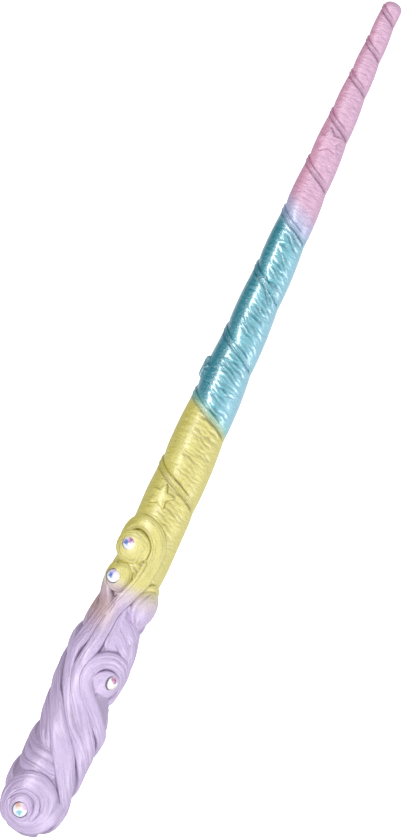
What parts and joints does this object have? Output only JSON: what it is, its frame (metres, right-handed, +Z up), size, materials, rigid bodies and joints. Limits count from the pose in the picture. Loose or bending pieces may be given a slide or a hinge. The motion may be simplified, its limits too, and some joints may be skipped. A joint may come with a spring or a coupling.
{
  "type": "magic wand",
  "caption": "Tapered magic wand with a spiral-wrapped shaft, a grip of twisted strands that end in curls, raised stars and flat-back crystal stones.",
  "frame": {"origin": "centre of the bounding box, on the table under the wand", "axes": "+X along the wand from butt to tip, +Z up out of its decorated face"},
  "size_m": [0.3099, 0.0245, 0.0253],
  "materials": {
    "steel_rod": "drawn wire",
    "pearl_shaft": "pearl paint on cast resin, yellow to blue to pink along the shaft",
    "pearl_yellow": "pearl paint on cast resin",
    "pearl_blue": "pearl paint on cast resin",
    "pearl_pink": "pearl paint on cast resin",
    "pearl_lilac": "pearl paint on cast resin",
    "crystal": "faceted, foil-backed, with an iridescent coat",
    "clear_glue": "clear jewel glue"
  },
  "bodies": {
    "root": {"reinforcing_rod": "steel_rod", "shaft": "pearl_shaft", "wrap_hem": "pearl_shaft", "yellow_star": "pearl_yellow", "blue_star": "pearl_blue", "pink_star": "pearl_pink", "grip_core": "pearl_lilac", "butt_curl": "pearl_lilac", "butt_band": "pearl_lilac", "side_curl_strand": "pearl_lilac", "middle_curl_strand": "pearl_lilac", "small_curl_strand": "pearl_lilac", "top_curl_strand": "pearl_yellow", "filler_strand": "pearl_lilac", "butt_rhinestone": "crystal", "middle_rhinestone": "crystal", "small_rhinestone": "crystal", "top_rhinestone": "crystal", "butt_stone_glue": "clear_glue", "middle_stone_glue": "clear_glue", "small_stone_glue": "clear_glue", "top_stone_glue": "clear_glue"}
  },
  "joints": []
}
